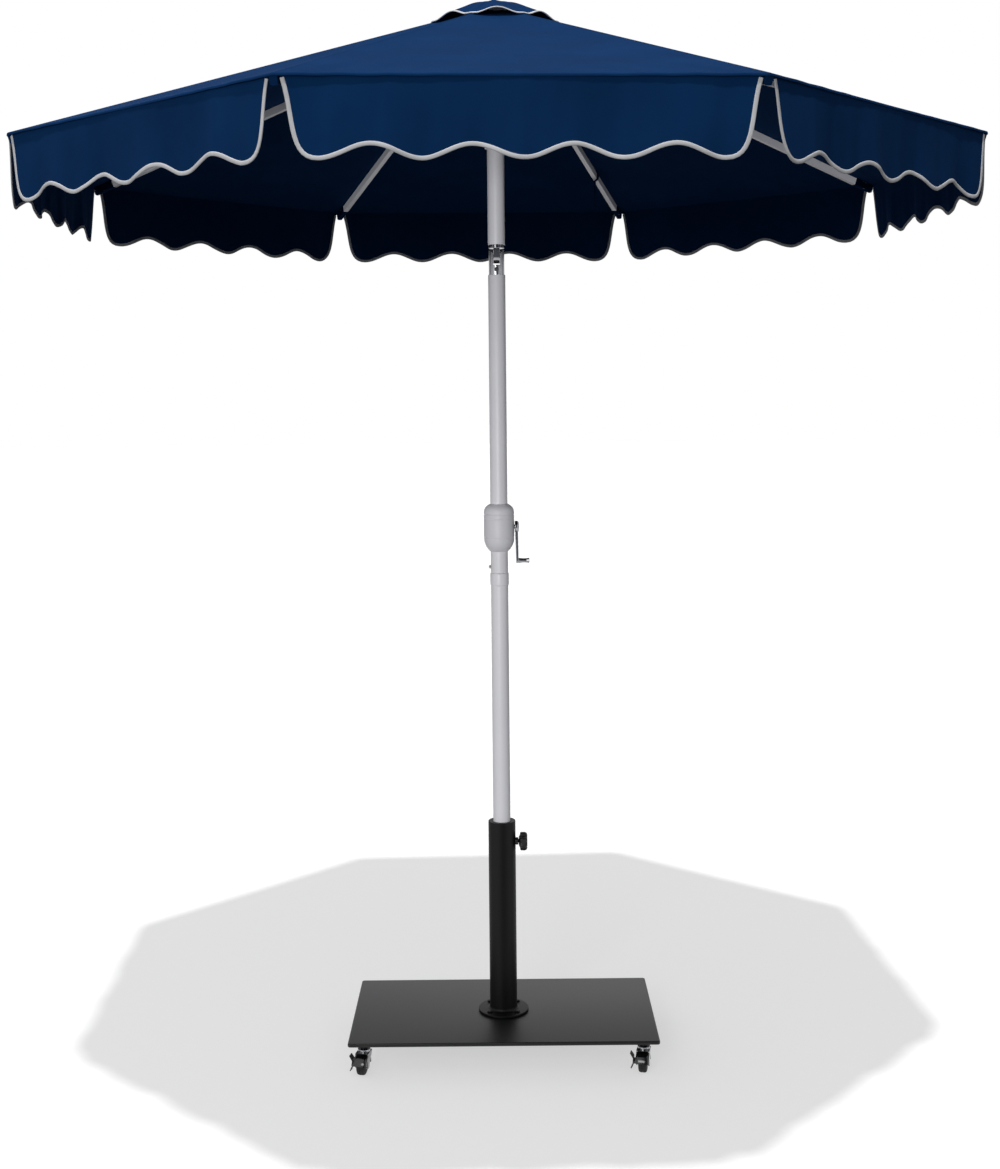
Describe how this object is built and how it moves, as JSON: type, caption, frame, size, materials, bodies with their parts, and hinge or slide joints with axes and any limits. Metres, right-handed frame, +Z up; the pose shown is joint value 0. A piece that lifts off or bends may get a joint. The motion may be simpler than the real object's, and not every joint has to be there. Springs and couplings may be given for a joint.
{
  "type": "patio umbrella with wheeled base",
  "caption": "Tilting patio umbrella with a crank, an octagonal scalloped canopy, a vent cap and a steel plate base on casters.",
  "frame": {"origin": "on the floor, on the axis of the pole, which is the centre of the base plate and of the canopy", "axes": "+Z up along the pole; -Y towards the front, along the short side of the base plate; +X towards the crank handle and the clamp knob"},
  "size_m": [1.9582, 1.9582, 2.3043],
  "materials": {
    "canopy_cloth": "woven navy canopy cloth, matt",
    "white_paint": "white powder coat with a faint grey tone, satin",
    "light_plastic": "light grey moulded plastic",
    "polished_steel": "polished plated steel",
    "binding_tape": "white woven binding tape on the cloth edges",
    "zinc_plate": "bright zinc plate with a faint blue tone",
    "black_enamel": "gloss black enamel on pressed steel",
    "black_paint": "black powder coat, fine satin",
    "black_plastic": "black moulded plastic",
    "wheel_rubber": "black rubber tread, matt"
  },
  "bodies": {
    "base": {"base_plate": "black_paint", "base_sleeve": "black_paint"},
    "clamp_knob": {"clamp_knob": "black_plastic"},
    "pole": {"lower_pole": "white_paint", "middle_pole": "white_paint", "crank_housing": "light_plastic", "tilt_lower": "polished_steel"},
    "snap_button": {"snap_button": "polished_steel"},
    "crank": {"crank_arm": "polished_steel", "winding_drum": "black_plastic"},
    "crank_grip": {"crank_grip": "polished_steel"},
    "tilt_button": {"tilt_button": "polished_steel"},
    "upper": {"upper_pole": "white_paint", "tilt_upper": "polished_steel", "crown_hub": "light_plastic", "finial": "canopy_cloth", "vent_cap": "canopy_cloth"},
    "runner": {"runner": "light_plastic"},
    "rib_1": {"rib_1": "white_paint", "canopy_panel_1": "canopy_cloth"},
    "strut_1": {"strut_1": "white_paint"},
    "valance_1": {"valance_1": "canopy_cloth"},
    "rib_2": {"rib_2": "white_paint", "canopy_panel_2": "canopy_cloth"},
    "strut_2": {"strut_2": "white_paint"},
    "valance_2": {"valance_2": "canopy_cloth"},
    "rib_3": {"rib_3": "white_paint", "canopy_panel_3": "canopy_cloth"},
    "strut_3": {"strut_3": "white_paint"},
    "valance_3": {"valance_3": "canopy_cloth"},
    "rib_4": {"rib_4": "white_paint", "canopy_panel_4": "canopy_cloth"},
    "strut_4": {"strut_4": "white_paint"},
    "valance_4": {"valance_4": "canopy_cloth"},
    "rib_5": {"rib_5": "white_paint", "canopy_panel_5": "canopy_cloth"},
    "strut_5": {"strut_5": "white_paint"},
    "valance_5": {"valance_5": "canopy_cloth"},
    "rib_6": {"rib_6": "white_paint", "canopy_panel_6": "canopy_cloth"},
    "strut_6": {"strut_6": "white_paint"},
    "valance_6": {"valance_6": "canopy_cloth"},
    "rib_7": {"rib_7": "white_paint", "canopy_panel_7": "canopy_cloth"},
    "strut_7": {"strut_7": "white_paint"},
    "valance_7": {"valance_7": "canopy_cloth"},
    "rib_8": {"rib_8": "white_paint", "canopy_panel_8": "canopy_cloth"},
    "strut_8": {"strut_8": "white_paint"},
    "valance_8": {"valance_8": "canopy_cloth"},
    "caster_1": {"caster_fork_1": "black_enamel"},
    "wheel_1": {"caster_wheel_1": "wheel_rubber"},
    "brake_pedal_1": {"brake_pedal_1": "black_plastic"},
    "caster_2": {"caster_fork_2": "black_enamel"},
    "wheel_2": {"caster_wheel_2": "wheel_rubber"},
    "brake_pedal_2": {"brake_pedal_2": "black_plastic"},
    "caster_3": {"caster_fork_3": "black_enamel"},
    "wheel_3": {"caster_wheel_3": "wheel_rubber"},
    "caster_4": {"caster_fork_4": "black_enamel"},
    "wheel_4": {"caster_wheel_4": "wheel_rubber"}
  },
  "joints": [
    {"name": "pole_lift", "type": "slide", "parent": "base", "child": "pole", "axis": [0, 0, 1], "range_m": [0, 0.38]},
    {"name": "clamp_knob_turn", "type": "hinge", "parent": "base", "child": "clamp_knob", "pos_m": [0, 0, 0.442], "axis": [1, 0, 0], "range_deg": [0, 720]},
    {"name": "snap_button_press", "type": "slide", "parent": "pole", "child": "snap_button", "axis": [1, 0, 0], "range_m": [0, 0.005], "stiffness_N_per_m": 300, "springref_m": -0.003},
    {"name": "tilt_button_press", "type": "slide", "parent": "pole", "child": "tilt_button", "axis": [0, 1, 0], "range_m": [0, 0.003], "stiffness_N_per_m": 300, "springref_m": -0.003},
    {"name": "crank_turn", "type": "hinge", "parent": "pole", "child": "crank", "pos_m": [0, 0, 1.1376], "axis": [1, 0, 0], "continuous": true},
    {"name": "crank_grip_spin", "type": "hinge", "parent": "crank", "child": "crank_grip", "pos_m": [0.054, 0, 1.0626], "axis": [1, 0, 0], "continuous": true},
    {"name": "canopy_tilt", "type": "hinge", "parent": "pole", "child": "upper", "pos_m": [0, 0, 1.735], "axis": [1, 0, 0], "range_deg": [0, 30]},
    {"name": "rib_1_fold", "type": "hinge", "parent": "upper", "child": "rib_1", "pos_m": [-0.01079, -0.03013, 2.26601], "axis": [-0.9415, 0.3371, 0], "range_deg": [-64.65, 0], "deforming": ["canopy_panel_1"]},
    {"name": "strut_1_swing", "type": "hinge", "parent": "rib_1", "child": "strut_1", "pos_m": [-0.13088, -0.36554, 2.13309], "axis": [-0.9415, 0.3371, 0], "range_deg": [0, 129.31]},
    {"name": "valance_1_hang", "type": "hinge", "parent": "rib_1", "child": "valance_1", "pos_m": [-0.35058, -0.97913, 1.9413], "axis": [-0.9415, 0.3371, 0], "range_deg": [0, 64.66], "deforming": ["valance_1"]},
    {"name": "rib_2_fold", "type": "hinge", "parent": "upper", "child": "rib_2", "pos_m": [0.01368, -0.02893, 2.26601], "axis": [-0.9041, -0.4274, 0], "range_deg": [-64.65, 0], "deforming": ["canopy_panel_2"]},
    {"name": "strut_2_swing", "type": "hinge", "parent": "rib_2", "child": "strut_2", "pos_m": [0.16593, -0.35103, 2.13309], "axis": [-0.9041, -0.4274, 0], "range_deg": [0, 129.31]},
    {"name": "valance_2_hang", "type": "hinge", "parent": "rib_2", "child": "valance_2", "pos_m": [0.44445, -0.94025, 1.9413], "axis": [-0.9041, -0.4274, 0], "range_deg": [0, 64.66], "deforming": ["valance_2"]},
    {"name": "rib_3_fold", "type": "hinge", "parent": "upper", "child": "rib_3", "pos_m": [0.03013, -0.01079, 2.26601], "axis": [-0.3371, -0.9415, 0], "range_deg": [-64.65, 0], "deforming": ["canopy_panel_3"]},
    {"name": "strut_3_swing", "type": "hinge", "parent": "rib_3", "child": "strut_3", "pos_m": [0.36554, -0.13088, 2.13309], "axis": [-0.3371, -0.9415, 0], "range_deg": [0, 129.31]},
    {"name": "valance_3_hang", "type": "hinge", "parent": "rib_3", "child": "valance_3", "pos_m": [0.97913, -0.35058, 1.9413], "axis": [-0.3371, -0.9415, 0], "range_deg": [0, 64.66], "deforming": ["valance_3"]},
    {"name": "rib_4_fold", "type": "hinge", "parent": "upper", "child": "rib_4", "pos_m": [0.02893, 0.01368, 2.26601], "axis": [0.4274, -0.9041, 0], "range_deg": [-64.65, 0], "deforming": ["canopy_panel_4"]},
    {"name": "strut_4_swing", "type": "hinge", "parent": "rib_4", "child": "strut_4", "pos_m": [0.35103, 0.16593, 2.13309], "axis": [0.4274, -0.9041, 0], "range_deg": [0, 129.31]},
    {"name": "valance_4_hang", "type": "hinge", "parent": "rib_4", "child": "valance_4", "pos_m": [0.94025, 0.44445, 1.9413], "axis": [0.4274, -0.9041, 0], "range_deg": [0, 64.66], "deforming": ["valance_4"]},
    {"name": "rib_5_fold", "type": "hinge", "parent": "upper", "child": "rib_5", "pos_m": [0.01079, 0.03013, 2.26601], "axis": [0.9415, -0.3371, 0], "range_deg": [-64.65, 0], "deforming": ["canopy_panel_5"]},
    {"name": "strut_5_swing", "type": "hinge", "parent": "rib_5", "child": "strut_5", "pos_m": [0.13088, 0.36554, 2.13309], "axis": [0.9415, -0.3371, 0], "range_deg": [0, 129.31]},
    {"name": "valance_5_hang", "type": "hinge", "parent": "rib_5", "child": "valance_5", "pos_m": [0.35058, 0.97913, 1.9413], "axis": [0.9415, -0.3371, 0], "range_deg": [0, 64.66], "deforming": ["valance_5"]},
    {"name": "rib_6_fold", "type": "hinge", "parent": "upper", "child": "rib_6", "pos_m": [-0.01368, 0.02893, 2.26601], "axis": [0.9041, 0.4274, 0], "range_deg": [-64.65, 0], "deforming": ["canopy_panel_6"]},
    {"name": "strut_6_swing", "type": "hinge", "parent": "rib_6", "child": "strut_6", "pos_m": [-0.16593, 0.35103, 2.13309], "axis": [0.9041, 0.4274, 0], "range_deg": [0, 129.31]},
    {"name": "valance_6_hang", "type": "hinge", "parent": "rib_6", "child": "valance_6", "pos_m": [-0.44445, 0.94025, 1.9413], "axis": [0.9041, 0.4274, 0], "range_deg": [0, 64.66], "deforming": ["valance_6"]},
    {"name": "rib_7_fold", "type": "hinge", "parent": "upper", "child": "rib_7", "pos_m": [-0.03013, 0.01079, 2.26601], "axis": [0.3371, 0.9415, 0], "range_deg": [-64.65, 0], "deforming": ["canopy_panel_7"]},
    {"name": "strut_7_swing", "type": "hinge", "parent": "rib_7", "child": "strut_7", "pos_m": [-0.36554, 0.13088, 2.13309], "axis": [0.3371, 0.9415, 0], "range_deg": [0, 129.31]},
    {"name": "valance_7_hang", "type": "hinge", "parent": "rib_7", "child": "valance_7", "pos_m": [-0.97913, 0.35058, 1.9413], "axis": [0.3371, 0.9415, 0], "range_deg": [0, 64.66], "deforming": ["valance_7"]},
    {"name": "rib_8_fold", "type": "hinge", "parent": "upper", "child": "rib_8", "pos_m": [-0.02893, -0.01368, 2.26601], "axis": [-0.4274, 0.9041, 0], "range_deg": [-64.65, 0], "deforming": ["canopy_panel_8"]},
    {"name": "strut_8_swing", "type": "hinge", "parent": "rib_8", "child": "strut_8", "pos_m": [-0.35103, -0.16593, 2.13309], "axis": [-0.4274, 0.9041, 0], "range_deg": [0, 129.31]},
    {"name": "valance_8_hang", "type": "hinge", "parent": "rib_8", "child": "valance_8", "pos_m": [-0.94025, -0.44445, 1.9413], "axis": [-0.4274, 0.9041, 0], "range_deg": [0, 64.66], "deforming": ["valance_8"]},
    {"name": "runner_slide", "type": "slide", "parent": "upper", "child": "runner", "axis": [0, 0, 1], "range_m": [-0.4924, 0]},
    {"name": "caster_1_swivel", "type": "hinge", "parent": "base", "child": "caster_1", "pos_m": [-0.296, -0.148, 0.04], "axis": [0, 0, 1], "continuous": true},
    {"name": "wheel_1_roll", "type": "hinge", "parent": "caster_1", "child": "wheel_1", "pos_m": [-0.29891, -0.16169, 0.02], "axis": [0.9781, -0.2079, 0], "continuous": true},
    {"name": "brake_1_release", "type": "hinge", "parent": "caster_1", "child": "brake_pedal_1", "pos_m": [-0.31701, -0.15785, 0.022], "axis": [-0.2079, -0.9781, 0], "range_deg": [0, 14]},
    {"name": "caster_2_swivel", "type": "hinge", "parent": "base", "child": "caster_2", "pos_m": [0.296, -0.148, 0.04], "axis": [0, 0, 1], "continuous": true},
    {"name": "wheel_2_roll", "type": "hinge", "parent": "caster_2", "child": "wheel_2", "pos_m": [0.29309, -0.16169, 0.02], "axis": [0.9781, -0.2079, 0], "continuous": true},
    {"name": "brake_2_release", "type": "hinge", "parent": "caster_2", "child": "brake_pedal_2", "pos_m": [0.27499, -0.15785, 0.022], "axis": [-0.2079, -0.9781, 0], "range_deg": [0, 14]},
    {"name": "caster_3_swivel", "type": "hinge", "parent": "base", "child": "caster_3", "pos_m": [0.296, 0.148, 0.04], "axis": [0, 0, 1], "continuous": true},
    {"name": "wheel_3_roll", "type": "hinge", "parent": "caster_3", "child": "wheel_3", "pos_m": [0.29309, 0.13431, 0.02], "axis": [0.9781, -0.2079, 0], "continuous": true},
    {"name": "caster_4_swivel", "type": "hinge", "parent": "base", "child": "caster_4", "pos_m": [-0.296, 0.148, 0.04], "axis": [0, 0, 1], "continuous": true},
    {"name": "wheel_4_roll", "type": "hinge", "parent": "caster_4", "child": "wheel_4", "pos_m": [-0.29891, 0.13431, 0.02], "axis": [0.9781, -0.2079, 0], "continuous": true}
  ],
  "couplings": [
    {"joint": "strut_1_swing", "follows": "rib_1_fold", "ratio": -2},
    {"joint": "valance_1_hang", "follows": "rib_1_fold", "ratio": -1},
    {"joint": "rib_2_fold", "follows": "rib_1_fold", "ratio": 1},
    {"joint": "strut_2_swing", "follows": "rib_1_fold", "ratio": -2},
    {"joint": "valance_2_hang", "follows": "rib_1_fold", "ratio": -1},
    {"joint": "rib_3_fold", "follows": "rib_1_fold", "ratio": 1},
    {"joint": "strut_3_swing", "follows": "rib_1_fold", "ratio": -2},
    {"joint": "valance_3_hang", "follows": "rib_1_fold", "ratio": -1},
    {"joint": "rib_4_fold", "follows": "rib_1_fold", "ratio": 1},
    {"joint": "strut_4_swing", "follows": "rib_1_fold", "ratio": -2},
    {"joint": "valance_4_hang", "follows": "rib_1_fold", "ratio": -1},
    {"joint": "rib_5_fold", "follows": "rib_1_fold", "ratio": 1},
    {"joint": "strut_5_swing", "follows": "rib_1_fold", "ratio": -2},
    {"joint": "valance_5_hang", "follows": "rib_1_fold", "ratio": -1},
    {"joint": "rib_6_fold", "follows": "rib_1_fold", "ratio": 1},
    {"joint": "strut_6_swing", "follows": "rib_1_fold", "ratio": -2},
    {"joint": "valance_6_hang", "follows": "rib_1_fold", "ratio": -1},
    {"joint": "rib_7_fold", "follows": "rib_1_fold", "ratio": 1},
    {"joint": "strut_7_swing", "follows": "rib_1_fold", "ratio": -2},
    {"joint": "valance_7_hang", "follows": "rib_1_fold", "ratio": -1},
    {"joint": "rib_8_fold", "follows": "rib_1_fold", "ratio": 1},
    {"joint": "strut_8_swing", "follows": "rib_1_fold", "ratio": -2},
    {"joint": "valance_8_hang", "follows": "rib_1_fold", "ratio": -1},
    {"joint": "runner_slide", "follows": "rib_1_fold", "m_per_rad": 0.43595},
    {"joint": "crank_turn", "follows": "rib_1_fold", "ratio": 45.94}
  ]
}
